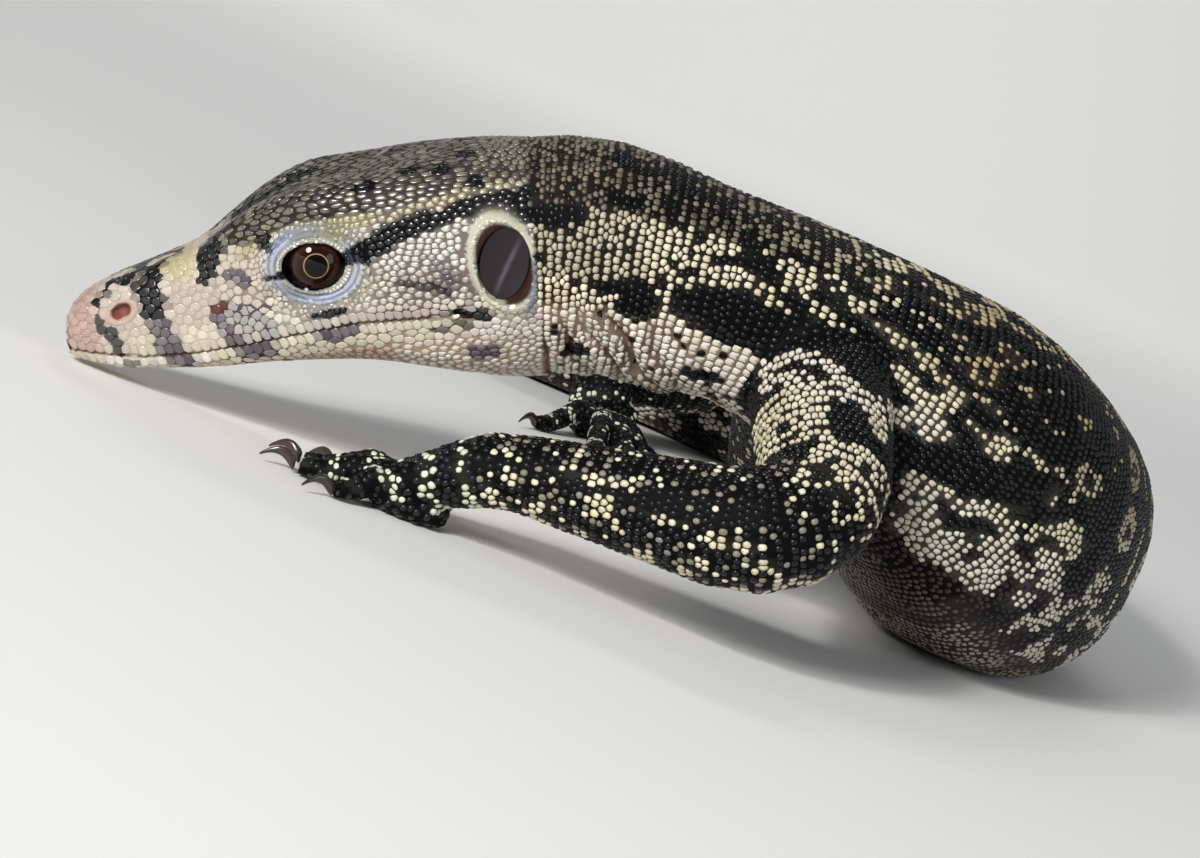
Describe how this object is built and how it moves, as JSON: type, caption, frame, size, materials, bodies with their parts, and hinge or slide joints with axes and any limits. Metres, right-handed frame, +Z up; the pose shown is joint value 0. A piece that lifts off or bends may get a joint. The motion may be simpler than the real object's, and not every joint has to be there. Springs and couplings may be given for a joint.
{
  "type": "water monitor lizard model",
  "caption": "Life-size young water monitor lizard resting on its belly and feet, head low, body curled behind it and the tail trailing away.",
  "frame": {"origin": "on the floor, under the middle of the animal's box", "axes": "+Z up; the head points to -X at the -Y end, with the animal's left side towards -Y; the tail runs to +Y"},
  "size_m": [0.1316, 0.5166, 0.0454],
  "materials": {
    "scaly_skin": "black and cream beaded scales, satin",
    "face": "smooth cream and grey head scales, satin",
    "eye": "wet gloss, dark brown iris",
    "eardrum": "thin stretched membrane",
    "claw": "polished dark horn"
  },
  "bodies": {
    "root": {"head": "face", "lower_jaw": "face", "eye_left": "eye", "ear_left": "eardrum", "eye_right": "eye", "ear_right": "eardrum", "neck": "scaly_skin", "torso_front": "scaly_skin", "torso_middle": "scaly_skin", "torso_rear": "scaly_skin", "tail_1": "scaly_skin", "tail_2": "scaly_skin", "tail_3": "scaly_skin", "tail_4": "scaly_skin", "tail_5": "scaly_skin", "foreleg_left_upper": "scaly_skin", "foreleg_left_lower": "scaly_skin", "foreleg_right_upper": "scaly_skin", "foreleg_right_lower": "scaly_skin", "hindleg_left_upper": "scaly_skin", "hindleg_left_lower": "scaly_skin", "hindleg_right_upper": "scaly_skin", "hindleg_right_lower": "scaly_skin", "forefoot_left": "scaly_skin", "claw_forefoot_left_1": "claw", "claw_forefoot_left_2": "claw", "claw_forefoot_left_3": "claw", "claw_forefoot_left_4": "claw", "claw_forefoot_left_5": "claw", "forefoot_right": "scaly_skin", "claw_forefoot_right_1": "claw", "claw_forefoot_right_2": "claw", "claw_forefoot_right_3": "claw", "claw_forefoot_right_4": "claw", "claw_forefoot_right_5": "claw", "hindfoot_left": "scaly_skin", "claw_hindfoot_left_1": "claw", "claw_hindfoot_left_2": "claw", "claw_hindfoot_left_3": "claw", "claw_hindfoot_left_4": "claw", "claw_hindfoot_left_5": "claw", "hindfoot_right": "scaly_skin", "claw_hindfoot_right_1": "claw", "claw_hindfoot_right_2": "claw", "claw_hindfoot_right_3": "claw", "claw_hindfoot_right_4": "claw", "claw_hindfoot_right_5": "claw"}
  },
  "joints": []
}
